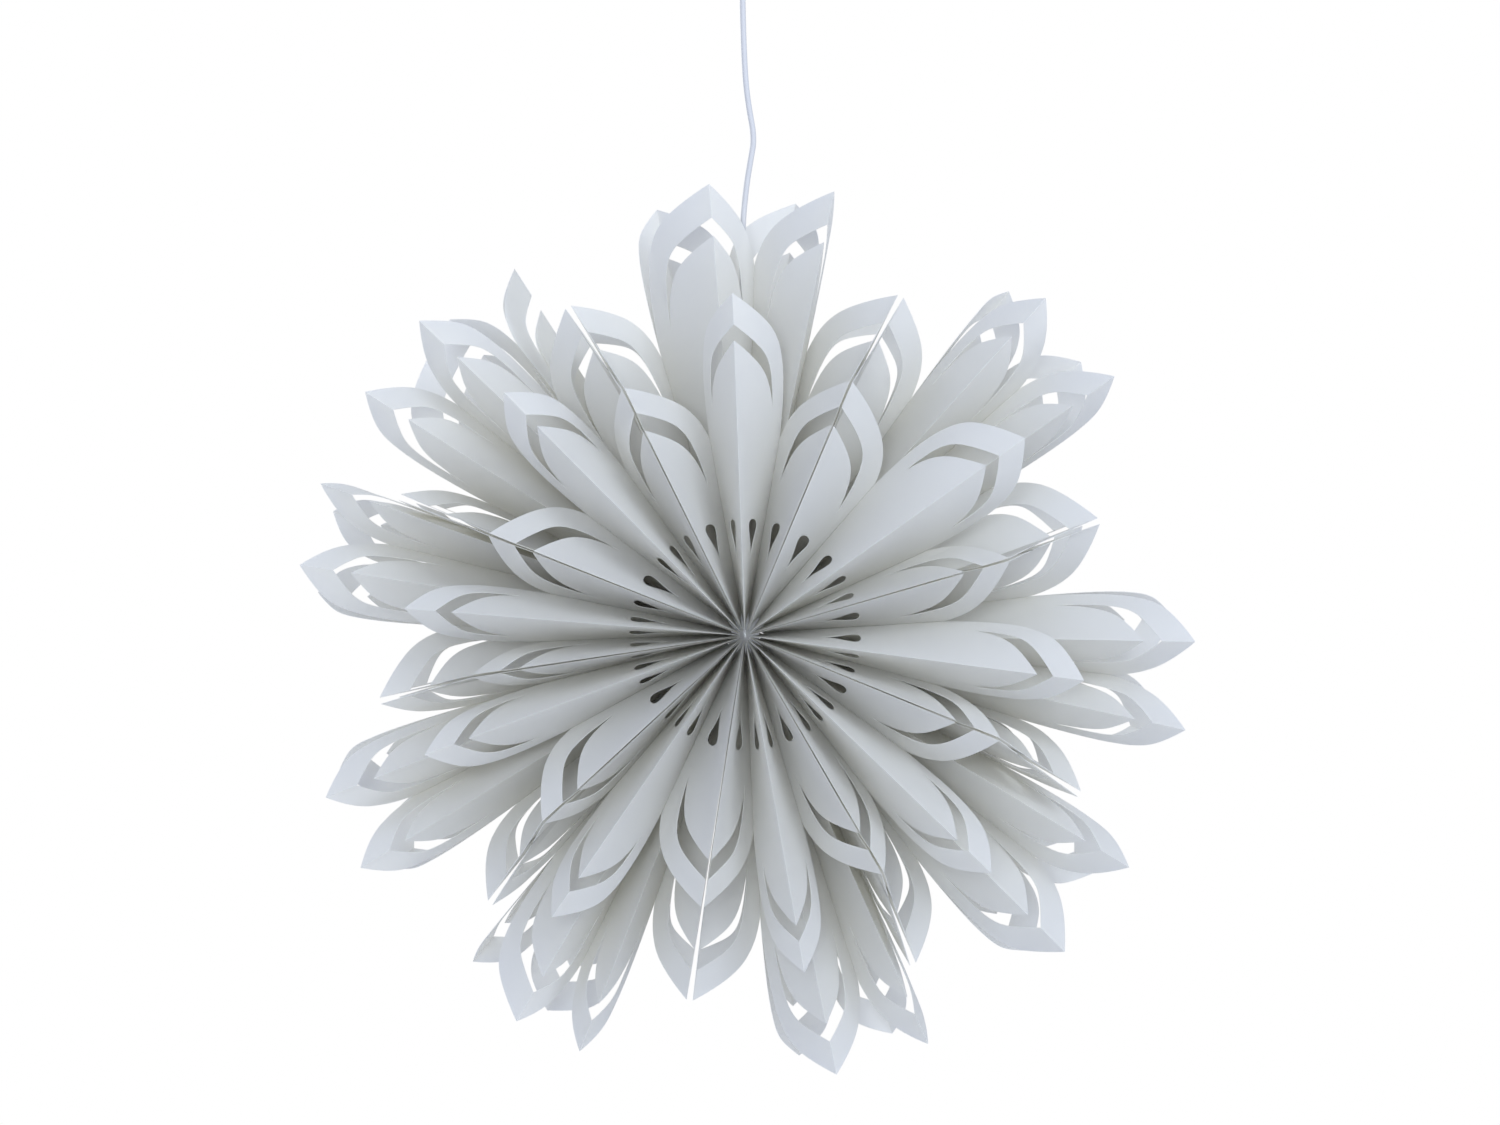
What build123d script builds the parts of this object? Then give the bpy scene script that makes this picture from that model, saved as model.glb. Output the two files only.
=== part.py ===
"""Folded paper star pendant.

Nine glued paper segments are fanned round one horizontal axis.  Each segment has a short outer
pleat over a long inner pleat at the front, and the same again at the back.  The star hangs by its
cord from a ceiling cup and closes round a lampholder with a small globe bulb.

Millimetres, Z up.  The origin is the middle of the face that meets the ceiling.  The star's axis
is parallel to Y, and its front looks towards -Y.  "Depth" below is the distance from the star's
middle plane towards the front, or towards the back for the back pleats.
"""

import math
import os
from collections import namedtuple

import numpy
from build123d import *

os.makedirs("parts", exist_ok=True)

# ---------------------------------------------------------------- place of the star
STAR_DROP = 650.0  # ceiling to the star's axis
STAR_SIDE = 2.6  # the star's axis lies this far to the right of the ceiling cup's
PAPER = 0.4  # thickness of the folded sheet
RUNNING_GAP = 0.3  # left between pieces that touch without being joined
FULL_TURN = 360.0
ROUND_SIDES = 32  # flat sides of the tapered round pieces

# ---------------------------------------------------------------- pleats
PLEAT_WIDTH = 72.0  # flat width of one pleat face
PLEAT_MEETING = 0.8  # depth of the inner valleys, where front and back meet
LEVEL_GAP = 1.5  # between the outer valleys and the inner ridges
CORE_RADIUS = 68.0  # the lamp's space, where the inner pleats end
CENTRE_RADIUS = 8.0  # where the outer ridges end, round the star's middle
OUTER_ROOT = 20.0  # where the outer valleys end, which closes the star in front of the lamp
OUTER_RIDGE_FALL = 0.05  # depth that an outer ridge loses for each millimetre outwards
INNER_RIDGE_FALL = 0.035  # the same for an inner ridge
SEAM_SPLAY = 0.08  # degrees that each segment's side wall leans away from its neighbour's
VALLEY_FLAT = 0.5  # half the width of a valley's flat floor
TIP_FALL = 54.0  # every tip is cut at this slope: its edge's fall over the width of a face
LEAF_BULGE = 0.26  # height of an edge with no such slope, as a share of its chord
WALL_BULGE = 0.14  # the same for the side walls
LEAF_LEAN = 1.3  # above 1, the edge is fuller near the leaf's tip
LEAF_STEPS = 3  # straight steps along a leaf's rounded edge
SLOT_BULGE = 0.05  # height of the slot's rounded edges as a share of their chord

# Each leaf: radius of its tip, width of the band outside its slot and of the slot, both along
# the ridge, and radius at which the slot's tail ends
SEAM_LEAF = (237.0, 24.0, 17.0, 132.0)
CREST_LEAF = (295.0, 27.0, 14.0, 200.0)
SHOULDER_LEAF = (329.0, 27.0, 18.0, 206.0)
LONG_LEAF = (400.0, 30.0, 16.0, 278.0)
SEAM_REACH = 0.78  # share of the way from ridge to valley at which a seam leaf's tail ends
RIDGE_REACH = 0.74  # the same for the other leaves
WALL_REACH = 0.6  # the same on the side walls, from the ridge towards the inner pleat
WALL_TAIL = 150.0

# Radii of the notches between the leaves
OUTER_NOTCH = 174.0
SIDE_NOTCH = 259.0
MIDDLE_NOTCH = 333.0

# Drop-shaped hole in each outer face: radii of its inner point, widest place and round end
DROP_RADII = (66.0, 91.0, 96.0)
DROP_SHARE = 0.5  # share of the way from the ridge to the valley
DROP_SPREAD = 0.14  # half the hole's width, as such a share
OUTER_MITRE = 24.0  # how far a fold's end may reach along the fold, in half thicknesses
INNER_MITRE = 4.0  # the same for the inner pleats

# Fold angles of the nine segments, degrees anticlockwise from the right, seen from the front.
# Each row: first seam, outer valley, crest, outer valley.  The next row's seam closes it.
OUTER_FOLDS = (
    (67.3, 80.0, 92.1, 100.3),
    (116.3, 126.2, 134.8, 143.0),
    (158.5, 168.5, 175.5, 182.3),
    (188.5, 193.8, 200.5, 208.6),
    (222.8, 229.5, 235.6, 245.0),
    (261.1, 272.4, 280.0, 286.8),
    (300.1, 308.0, 316.0, 323.7),
    (337.8, 345.0, 352.4, 363.5),
    (376.0, 384.5, 395.2, 409.0),
)
# Each row: side valley, long ridge, middle valley, long ridge, side valley, at the front
INNER_FOLDS = (
    (71.5, 78.6, 86.5, 94.6, 107.0),
    (120.0, 136.2, 141.8, 147.6, 153.5),
    (160.5, 164.2, 168.8, 173.6, 181.5),
    (195.0, 201.4, 206.4, 211.4, 217.0),
    (227.0, 239.5, 243.8, 248.4, 254.5),
    (271.5, 281.7, 287.9, 293.2, 296.8),
    (307.5, 315.1, 322.1, 328.6, 333.4),
    (342.3, 347.6, 353.2, 358.9, 367.0),
    (385.5, 394.8, 401.5, 408.1, 417.5),
)
# Long ridge, middle valley, long ridge of the back pleats, which are turned a little
BACK_RIDGES = (
    (83.3, 92.8, 101.6),
    (124.0, 129.0, 134.5),
    (166.0, 170.5, 175.0),
    (199.0, 205.0, 210.0),
    (231.0, 236.0, 242.5),
    (277.0, 283.5, 290.0),
    (313.0, 319.5, 326.0),
    (348.5, 355.5, 361.5),
    (398.6, 405.0, 412.1),
)
BACK_TURN = 1.2  # degrees by which the back's crests and outer valleys are turned

# ---------------------------------------------------------------- ceiling fitting
FIT = 0.1  # clearance of screws and threads in their holes
BRACKET_WIDTH = 18.0
BRACKET_THICKNESS = 1.5
BRACKET_EAR = 12.0  # length of the ears that the cup is screwed to
BOLT_SPACING = 48.0
BOLT_HOLE_RADIUS = 2.25
CUP_RADIUS = 43.0
CUP_HEIGHT = 50.0
CUP_STRAIGHT = 14.0  # height of the cup's upright rim
CUP_WALL = 2.0
CUP_NOSE_RADIUS = 22.0  # flat middle of the cup's underside
SIDE_SCREW_RADIUS = 1.6
SIDE_SCREW_Z = -8.0
SIDE_SCREW_PROUD = 1.0
THREAD_RADIUS = 4.9  # of both cord glands
THREAD_ABOVE_CUP = 6.5
GRIP_RADIUS = 7.8
GRIP_LENGTH = 12.0  # of the part below the cup
GRIP_WALL = 1.2  # of the grip's mouth
NUT_ACROSS_FLATS = 14.0
NUT_THICKNESS = 3.0
TERMINALS = (20.0, 14.0, 14.0)
TERMINAL_GROOVE = (1.6, 3.0)  # between its two poles

# ---------------------------------------------------------------- cord
CORD_RADIUS = 2.6
CORD_SIDES = 8
CORD_BEND = 0.45  # share of a straight run that its bend takes up at each end
PIVOT_BELOW_CUP = 10.0  # the cord bends here, inside the grip's mouth
SWING = 12.0  # degrees that the mouth lets the cord swing
BUSH_LENGTH = 12.0
BUSH_SEAT = 2.0  # how far the bush reaches above the bend
BUSH_RADIUS = 5.0
BUSH_BELL_RADIUS = 6.6
# The cord's centre line below its pivot: right of the star's axis, and height below the ceiling
CORD_ROUTE = (
    (-2.3, -90.0),
    (-0.2, -145.0),
    (3.0, -172.0),
    (8.4, -201.0),
    (4.9, -221.0),
    (0.9, -245.0),
    (-2.9, -285.0),
    (-2.5, -360.0),
    (-1.8, -438.0),
    (-0.8, -510.0),
    (0.0, -555.0),
)

# ---------------------------------------------------------------- lampholder, above the star's axis
PLATE = (60.0, 128.0, 1.0)
PLATE_CORNER = 8.0
PLATE_TOP = 60.5
GLAND_FLANGE = (8.0, 4.0)
GLAND_STEM = 9.0  # length of its thread below the flange
CORD_IN_GLAND = 7.5  # how deep the cord goes in
HOLDER_RADIUS = 19.5
HOLDER_WALL = 2.2
HOLDER_CAP_HEIGHT = 22.0
HOLDER_CROWN = 8.0  # height and width of the cap's sloping crown
HOLDER_SHELL_HEIGHT = 35.0
INSERT_HEIGHT = 6.0
INSERT_BOTTOM = 34.0
SCREW_SHELL_RADIUS = 13.8
SCREW_SHELL_WALL = 0.4
SCREW_SHELL_LENGTH = 24.0
TONGUE = (9.0, 4.0, 0.5)  # reach from its rivet to the axis, width, thickness
TONGUE_DROP = 0.6

# ---------------------------------------------------------------- bulb
BULB_CONTACT = (3.2, 4.5, 2.0)  # radii at its top and bottom, height
INSULATOR_HEIGHT = 2.2
INSULATOR_RADII = (5.5, 9.0)
BULB_CAP_LENGTH = 22.5
BULB_CAP_WALL = 0.35
BULB_CAP_SHOULDER = 2.5
BULB_RADIUS = 22.5
BULB_LENGTH = 80.7  # from its contact to the far end of its glass
NECK_GAP = 0.15  # filled with cement in the real lamp
NECK_IN_CAP = 3.0
GLOBE_STEPS = 8  # straight steps along the globe's outline

# ---------------------------------------------------------------- worked out from the above
STAR_Z = -STAR_DROP
INNER_RIDGE = PLEAT_MEETING + PLEAT_WIDTH - PAPER  # depth of the inner ridges at the core
OUTER_VALLEY = INNER_RIDGE + LEVEL_GAP
OUTER_RIDGE = OUTER_VALLEY + PLEAT_WIDTH  # depth of the outer ridges at the star's middle
SEAM_OFFSET = (PAPER + RUNNING_GAP) / 2
CORD_BORE = CORD_RADIUS + RUNNING_GAP
CUP_BOTTOM = -CUP_HEIGHT
GRIP_BOTTOM = CUP_BOTTOM - GRIP_LENGTH
PIVOT_Z = CUP_BOTTOM - PIVOT_BELOW_CUP
CORD_TOP_END = PIVOT_Z + CORD_RADIUS * math.sin(math.radians(SWING)) + RUNNING_GAP
BUSH_TOP = PIVOT_Z + BUSH_SEAT
EAR_REACH = math.sqrt((CUP_RADIUS - CUP_WALL) ** 2 - BRACKET_WIDTH**2 / 4) - RUNNING_GAP
HOLDER_TOP = PLATE_TOP - PLATE[2]
SHELL_TOP = HOLDER_TOP - HOLDER_CAP_HEIGHT
SHELL_BOTTOM = SHELL_TOP - HOLDER_SHELL_HEIGHT
CORD_END = PLATE_TOP + GLAND_FLANGE[1] - CORD_IN_GLAND
BULB_CAP_RADIUS = SCREW_SHELL_RADIUS - SCREW_SHELL_WALL - RUNNING_GAP
CONTACT_TOP = INSERT_BOTTOM - TONGUE[2] - TONGUE_DROP - RUNNING_GAP
INSULATOR_TOP = CONTACT_TOP - BULB_CONTACT[2]
BULB_CAP_TOP = INSULATOR_TOP - INSULATOR_HEIGHT
BULB_CAP_BOTTOM = BULB_CAP_TOP - BULB_CAP_LENGTH
NECK_RADIUS = BULB_CAP_RADIUS - BULB_CAP_WALL - NECK_GAP
BULB_CENTRE = CONTACT_TOP - BULB_LENGTH + BULB_RADIUS
CEILING = Plane.XZ
LAMP = Plane((STAR_SIDE, 0, STAR_Z), x_dir=(1, 0, 0), z_dir=(0, -1, 0))

Fold = namedtuple("Fold", "angle offset inner notch depth fall")
Facet = namedtuple("Facet", "outline holes")


def outer_ridge(angle, offset=0.0):
    """A ridge of the outer pleat, from the star's middle outwards."""
    return Fold(angle, offset, CENTRE_RADIUS, None, OUTER_RIDGE, OUTER_RIDGE_FALL)


def outer_valley(angle):
    """The two fold lines of an outer pleat's valley, from its root to the notch between leaves."""
    return [Fold(angle, way * VALLEY_FLAT, OUTER_ROOT, OUTER_NOTCH, OUTER_VALLEY, 0.0) for way in (-1, 1)]


def inner_ridge(angle, offset=0.0):
    """A ridge of the inner pleat, from the core outwards."""
    start = INNER_RIDGE + CORE_RADIUS * INNER_RIDGE_FALL
    return Fold(angle, offset, CORE_RADIUS, None, start, INNER_RIDGE_FALL)


def inner_valley(angle, notch):
    """The two fold lines of an inner pleat's valley, from the core to its notch."""
    return [Fold(angle, way * VALLEY_FLAT, CORE_RADIUS, notch, PLEAT_MEETING, 0.0) for way in (-1, 1)]


def depth_at(fold, radius):
    """Depth of a fold at a radius."""
    return fold.depth - fold.fall * radius


def on_front(angle, radius, offset=0.0):
    """Place in the front view, as X and Z, of a point on a fold of this angle."""
    turn = math.radians(angle)
    right = STAR_SIDE + radius * math.cos(turn) - offset * math.sin(turn)
    up = STAR_Z + radius * math.sin(turn) + offset * math.cos(turn)
    return right, up


def on_fold(fold, radius, side):
    """The point of a fold at a radius; side is 1 at the front and -1 at the back."""
    right, up = on_front(fold.angle, radius, fold.offset)
    return Vector(right, -side * depth_at(fold, radius), up)


def lifted(point, facet):
    """The point of a flat facet that the front view shows at this X and Z."""
    normal = (facet[1] - facet[0]).cross(facet[2] - facet[0])
    right, up = point
    along = normal.X * (right - facet[0].X) + normal.Z * (up - facet[0].Z)
    return Vector(right, facet[0].Y - along / normal.Y, up)


def leaf_edge(tip, notch, start, bulge):
    """Points of a leaf's rounded edge: half a sine wave over its chord, away from the core."""
    chord = notch - tip
    away = (tip - start) - chord * ((tip - start).dot(chord) / chord.dot(chord))
    bow = away.normalized() * (bulge * chord.length)
    shares = [step / LEAF_STEPS for step in range(LEAF_STEPS)]
    rounded = [tip + chord * share**LEAF_LEAN + bow * math.sin(math.pi * share) for share in shares]
    return [*rounded, notch]


def slot_edge(inside, corner, tail):
    """Points of half a crescent slot, from its inner corner on the ridge round its tail."""
    chord = corner - tail
    across = (inside - tail) - chord * ((inside - tail).dot(chord) / chord.dot(chord))
    bow = across.normalized() * (-SLOT_BULGE * chord.length)
    return [inside, (inside + tail) / 2 + bow, tail, (corner + tail) / 2 + bow, corner]


def slot_on_ridge(ridge, leaf, side):
    """The inner and the outer corner of a leaf's slot, on its ridge."""
    radius, band, width, _ = leaf
    return on_fold(ridge, radius - band - width, side), on_fold(ridge, radius - band, side)


def face_facets(ridge, valley, leaf, reach, side, drops):
    """The two flat facets of one face: one along the valley, and one along the ridge."""
    start = on_fold(ridge, ridge.inner, side)
    tip = on_fold(ridge, leaf[0], side)
    root = on_fold(valley, valley.inner, side)
    notch = on_fold(valley, valley.notch, side)
    end = lifted(on_front(mixed(ridge, valley, reach), leaf[-1]), (start, tip, notch))
    slot = slot_edge(*slot_on_ridge(ridge, leaf, side), end)
    bulge = LEAF_BULGE * (1 - TIP_FALL / (leaf[0] - valley.notch))
    broad = Facet([start, *slot, *leaf_edge(tip, notch, start, bulge)], [])
    narrow = Facet([start, notch, root], [])
    if drops:
        point, wide, far = DROP_RADII
        kite = ((point, 0), (wide, -1), (far, 0), (wide, 1))
        places = [(mixed(ridge, valley, DROP_SHARE + way * DROP_SPREAD), radius) for radius, way in kite]
        broad.holes.append([lifted(on_front(*place), (start, tip, notch)) for place in places])
    if (ridge.angle < valley.angle) == (side > 0):
        return [broad, narrow]
    return [flipped(broad), flipped(narrow)]


def mixed(ridge, valley, share):
    """The angle a share of the way from a ridge to a valley."""
    return ridge.angle + share * (valley.angle - ridge.angle)


def flipped(facet):
    """The same facet, seen from its other face."""
    return Facet(facet.outline[::-1], facet.holes)


def valley_floor(low, high, side):
    """The narrow flat floor between a valley's two fold lines."""
    outline = [on_fold(low, low.inner, side), on_fold(low, low.notch, side)]
    outline += [on_fold(high, high.notch, side), on_fold(high, high.inner, side)]
    floor = Facet(outline, [])
    return floor if side > 0 else flipped(floor)


def wall_facet(ridge, side, last):
    """The outer pleat's side wall, from the seam ridge back to the inner pleat."""
    back = inner_ridge(ridge.angle, ridge.offset)
    seat = RUNNING_GAP + PAPER / 2

    def rear(radius):
        right, up = on_front(ridge.angle, radius, ridge.offset)
        return Vector(right, -side * (depth_at(back, radius) + seat), up)

    start = on_fold(ridge, CENTRE_RADIUS, side)
    tip = on_fold(ridge, SEAM_LEAF[0], side)
    end = on_fold(ridge, WALL_TAIL, side) * (1 - WALL_REACH) + rear(WALL_TAIL) * WALL_REACH
    slot = slot_edge(*slot_on_ridge(ridge, SEAM_LEAF, side), end)
    shoulder = rear(SHOULDER_LEAF[0])
    edge = leaf_edge(tip, shoulder, start, WALL_BULGE)
    wall = Facet([start, *slot, *edge, rear(OUTER_ROOT)], [])
    return wall if last == (side > 0) else flipped(wall)


def facet_normal(facet):
    """Unit normal of a flat facet."""
    points = facet.outline
    total = Vector(0, 0, 0)
    for index, point in enumerate(points):
        total += (points[index - 1] - points[0]).cross(point - points[0])
    return total.normalized()


def key_of(point):
    """One name for all points in the same place."""
    return tuple(round(value, 4) for value in point)


def to_skin(meeting, limit):
    """Move, in half thicknesses, from the point where facets meet to their front skin.

    The facets of four corners and more are met exactly, which keeps their skins flat.  The
    triangles are met as well as a move along the fold can, up to the limit.
    """
    normals = numpy.array([tuple(facet_normal(facet)) for facet in meeting])
    exact = normals[[len(facet.outline) > 3 for facet in meeting]]
    inverse = numpy.linalg.pinv(exact)
    move = inverse @ numpy.ones(len(exact))
    free = numpy.eye(3) - inverse @ exact
    along = free @ numpy.linalg.pinv(numpy.round(normals @ free, 6)) @ (1 - normals @ move)
    reach = numpy.linalg.norm(along)
    return Vector(*(move + along * min(1, limit / max(reach, 1))))


def folded_sheet(facets, limit):
    """One solid sheet through flat facets, mitred along the folds that they share."""
    meeting = {}
    for facet in facets:
        for point in facet.outline:
            meeting.setdefault(key_of(point), []).append(facet)

    def lift(point, facet):
        return to_skin(meeting.get(key_of(point), [facet]), limit) * (PAPER / 2)

    faces = []
    edges = {}
    for facet in facets:
        for way in (1, -1):
            outer, *inner = [
                Wire.make_polygon([point + lift(point, facet) * way for point in loop])
                for loop in (facet.outline, *facet.holes)
            ]
            faces.append(Face(outer, inner))
        for loop in (facet.outline, *facet.holes):
            for index, point in enumerate(loop):
                pair = tuple(sorted((key_of(loop[index - 1]), key_of(point))))
                edges.setdefault(pair, []).append((loop[index - 1], point, facet))
    for uses in edges.values():
        if len(uses) == 1:
            first, last, facet = uses[0]
            rise, fall = lift(first, facet), lift(last, facet)
            corners = (first - rise, last - fall, last + fall, first + rise)
            faces.append(Face(Wire.make_polygon(corners[:3])))
            faces.append(Face(Wire.make_polygon((corners[0], corners[2], corners[3]))))
    return Solid(Shell(faces))


def make_pleat(label, facets, limit):
    """One folded sheet through these facets, and its file."""
    with BuildPart() as pleat:
        add(folded_sheet(facets, limit))
    pleat.part.label = label
    export_step(pleat.part, f"parts/{label}.step")


def seams(index):
    """The ridges along a segment's two side walls, as their angles and offsets."""
    low = OUTER_FOLDS[index][0]
    high = OUTER_FOLDS[(index + 1) % len(OUTER_FOLDS)][0]
    if high < low:
        high += FULL_TURN
    return (low + SEAM_SPLAY, SEAM_OFFSET), (high - SEAM_SPLAY, -SEAM_OFFSET)


def outer_pleat(label, index, side):
    """The short pleat of one segment, with its two side walls."""
    turn = 0.0 if side > 0 else BACK_TURN
    first, last = [outer_ridge(*seam) for seam in seams(index)]
    _, valley_a, crest, valley_b = OUTER_FOLDS[index]
    near = outer_valley(valley_a + turn)
    top = outer_ridge(crest + turn)
    far = outer_valley(valley_b + turn)
    faces = (
        (first, near[0], SEAM_LEAF, SEAM_REACH),
        (top, near[1], CREST_LEAF, RIDGE_REACH),
        (top, far[0], CREST_LEAF, RIDGE_REACH),
        (last, far[1], SEAM_LEAF, SEAM_REACH),
    )
    facets = [facet for face in faces for facet in face_facets(*face, side, drops=True)]
    facets += [valley_floor(*valley, side) for valley in (near, far)]
    facets += [wall_facet(first, side, last=False), wall_facet(last, side, last=True)]
    make_pleat(label, facets, OUTER_MITRE)


def inner_pleat(label, index, side):
    """The long pleat of one segment."""
    first, last = [inner_ridge(*seam) for seam in seams(index)]
    side_a, ridge_a, middle, ridge_b, side_b = INNER_FOLDS[index]
    if side < 0:
        ridge_a, middle, ridge_b = BACK_RIDGES[index]
    long_a, long_b = inner_ridge(ridge_a), inner_ridge(ridge_b)
    near = inner_valley(side_a, SIDE_NOTCH)
    mid = inner_valley(middle, MIDDLE_NOTCH)
    far = inner_valley(side_b, SIDE_NOTCH)
    faces = (
        (first, near[0], SHOULDER_LEAF, SEAM_REACH),
        (long_a, near[1], LONG_LEAF, RIDGE_REACH),
        (long_a, mid[0], LONG_LEAF, RIDGE_REACH),
        (long_b, mid[1], LONG_LEAF, RIDGE_REACH),
        (long_b, far[0], LONG_LEAF, RIDGE_REACH),
        (last, far[1], SHOULDER_LEAF, SEAM_REACH),
    )
    facets = [facet for face in faces for facet in face_facets(*face, side, drops=False)]
    facets += [valley_floor(*valley, side) for valley in (near, mid, far)]
    make_pleat(label, facets, INNER_MITRE)


def keep(label, piece):
    """Name a finished piece and write its file."""
    piece.label = label
    export_step(piece, f"parts/{label}.step")


def turned(plane, *outline):
    """A round solid: an outline of radii and heights, turned about the plane's upright axis."""
    with BuildPart() as piece:
        with BuildSketch(plane):
            with BuildLine():
                Polyline(*outline, close=True)
            make_face()
        revolve(axis=Axis(plane.origin, (0, 0, 1)))
    return piece.part


def tapered(plane, *outline):
    """As turned, with flat sides, for the pieces that have tapers."""

    def corner(radius, height, index):
        turn = math.radians(FULL_TURN * index / ROUND_SIDES)
        return plane.origin + Vector(radius * math.cos(turn), radius * math.sin(turn), height)

    faces = []
    for start, end in zip(outline, outline[1:] + outline[:1]):
        for index in range(ROUND_SIDES):
            loop = [corner(*start, index), corner(*start, index + 1)]
            loop += [corner(*end, index + 1), corner(*end, index)]
            if start[0] == 0:
                loop.pop(0)
            if end[0] == 0:
                loop.pop()
            if len(loop) > 2:
                faces.append(Face(Wire.make_polygon(loop)))
    with BuildPart() as piece:
        add(Solid(Shell(faces)))
    return piece.part


def hexagon_nut(plane, top):
    """A nut of the gland's thread, hanging from this height."""
    level = Plane(plane.origin + Vector(0, 0, top))
    with BuildPart() as nut:
        with BuildSketch(level):
            RegularPolygon(NUT_ACROSS_FLATS / 2, 6, major_radius=False)
            Circle(THREAD_RADIUS + FIT, mode=Mode.SUBTRACT)
        extrude(amount=-NUT_THICKNESS)
    return nut.part


for segment in range(len(OUTER_FOLDS)):
    outer_pleat(f"front_outer_pleat_{segment + 1}", segment, 1)
    inner_pleat(f"front_inner_pleat_{segment + 1}", segment, 1)
    inner_pleat(f"back_inner_pleat_{segment + 1}", segment, -1)
    outer_pleat(f"back_outer_pleat_{segment + 1}", segment, -1)

# ---------------------------------------------------------------- ceiling fitting
with BuildPart() as ceiling_bracket:
    inside = EAR_REACH - BRACKET_THICKNESS
    with BuildSketch(CEILING):
        with Locations((0, -BRACKET_EAR / 2)):
            Rectangle(2 * EAR_REACH, BRACKET_EAR)
        with Locations((0, -BRACKET_THICKNESS - BRACKET_EAR / 2)):
            Rectangle(2 * inside, BRACKET_EAR, mode=Mode.SUBTRACT)
    extrude(amount=BRACKET_WIDTH / 2, both=True)
    with GridLocations(BOLT_SPACING, 0, 2, 1):
        Hole(BOLT_HOLE_RADIUS)
keep("ceiling_bracket", ceiling_bracket.part)

rim = CUP_RADIUS - CUP_WALL
with BuildPart() as canopy_cup:
    add(
        tapered(
            CEILING,
            (rim, 0),
            (CUP_RADIUS, 0),
            (CUP_RADIUS, -CUP_STRAIGHT),
            (CUP_NOSE_RADIUS, CUP_BOTTOM),
            (0, CUP_BOTTOM),
            (0, CUP_BOTTOM + CUP_WALL),
            (CUP_NOSE_RADIUS, CUP_BOTTOM + CUP_WALL),
            (rim, -CUP_STRAIGHT),
        )
    )
    with Locations((0, 0, CUP_BOTTOM)):
        Cylinder(THREAD_RADIUS + FIT, 4 * CUP_WALL, mode=Mode.SUBTRACT)
    with Locations(Location((0, 0, SIDE_SCREW_Z), (0, 90, 0))):
        Cylinder(SIDE_SCREW_RADIUS + FIT, 3 * CUP_RADIUS, mode=Mode.SUBTRACT)
keep("canopy_cup", canopy_cup.part)

with BuildPart() as canopy_screws:
    for side in (1, -1):
        with BuildSketch(Plane((side * EAR_REACH, 0, SIDE_SCREW_Z), x_dir=(0, 1, 0), z_dir=(side, 0, 0))):
            Circle(SIDE_SCREW_RADIUS)
        extrude(amount=CUP_RADIUS + SIDE_SCREW_PROUD - EAR_REACH)
keep("canopy_screws", canopy_screws.part)

seat_radius = BUSH_RADIUS + (BUSH_BELL_RADIUS - BUSH_RADIUS) * (BUSH_TOP - GRIP_BOTTOM) / BUSH_LENGTH
cord_grip = tapered(
    CEILING,
    (CORD_BORE, CUP_BOTTOM + THREAD_ABOVE_CUP),
    (THREAD_RADIUS, CUP_BOTTOM + THREAD_ABOVE_CUP),
    (THREAD_RADIUS, CUP_BOTTOM),
    (GRIP_RADIUS, CUP_BOTTOM),
    (seat_radius + RUNNING_GAP + GRIP_WALL, GRIP_BOTTOM),
    (seat_radius + RUNNING_GAP, GRIP_BOTTOM),
    (BUSH_RADIUS + RUNNING_GAP, BUSH_TOP + RUNNING_GAP),
    (CORD_BORE, BUSH_TOP + RUNNING_GAP),
)
keep("cord_grip", cord_grip)

keep("grip_nut", hexagon_nut(CEILING, CUP_BOTTOM + CUP_WALL + NUT_THICKNESS))

block_length, block_width, block_height = TERMINALS
groove_width, groove_depth = TERMINAL_GROOVE
BLOCK_MIDDLE = -BRACKET_THICKNESS - block_height / 2
BLOCK_BOTTOM = -BRACKET_THICKNESS - block_height
with BuildPart() as terminal_block:
    with Locations((0, 0, BLOCK_MIDDLE)):
        Box(*TERMINALS)
    with Locations((0, -block_width / 2, BLOCK_MIDDLE)):
        Box(groove_width, 2 * groove_depth, block_height, mode=Mode.SUBTRACT)
keep("terminal_block", terminal_block.part)

# ---------------------------------------------------------------- cord
with BuildPart() as cord_top:
    with BuildSketch(Plane.XY.offset(BLOCK_BOTTOM)):
        RegularPolygon(CORD_RADIUS, CORD_SIDES)
    extrude(amount=CORD_TOP_END - BLOCK_BOTTOM)
keep("cord_top", cord_top.part)

bush_bottom = BUSH_TOP - BUSH_LENGTH
mouth = CORD_BORE + (PIVOT_Z - bush_bottom) * math.tan(math.radians(SWING))
bell_bush = tapered(
    CEILING,
    (CORD_BORE, BUSH_TOP),
    (BUSH_RADIUS, BUSH_TOP),
    (BUSH_BELL_RADIUS, bush_bottom),
    (mouth, bush_bottom),
)
keep("bell_bush", bell_bush)

route = [Vector(0, 0, PIVOT_Z)]
route += [Vector(STAR_SIDE + right, 0, height) for right, height in CORD_ROUTE]
route.append(Vector(STAR_SIDE, 0, STAR_Z + CORD_END))
runs = [end - start for start, end in zip(route, route[1:])]
bends = []
for before, after in zip(runs, runs[1:]):
    half_turn = math.radians(before.get_angle(after)) / 2
    bends.append(CORD_BEND * min(before.length, after.length) / math.tan(half_turn))
print("cord bend radii:", [round(bend) for bend in bends])

with BuildPart() as cord:
    with BuildLine() as centre_line:
        path = FilletPolyline(*route, radius=bends)
    with BuildSketch(Plane(path @ 0, z_dir=path % 0)):
        section = RegularPolygon(CORD_RADIUS, CORD_SIDES)
    sweep(path=path)
length = path.length
print("cord length:", round(length, 1), "volume:", round(cord.part.volume))
print("section times length:", round(section.area * length))
keep("cord", cord.part)

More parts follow.
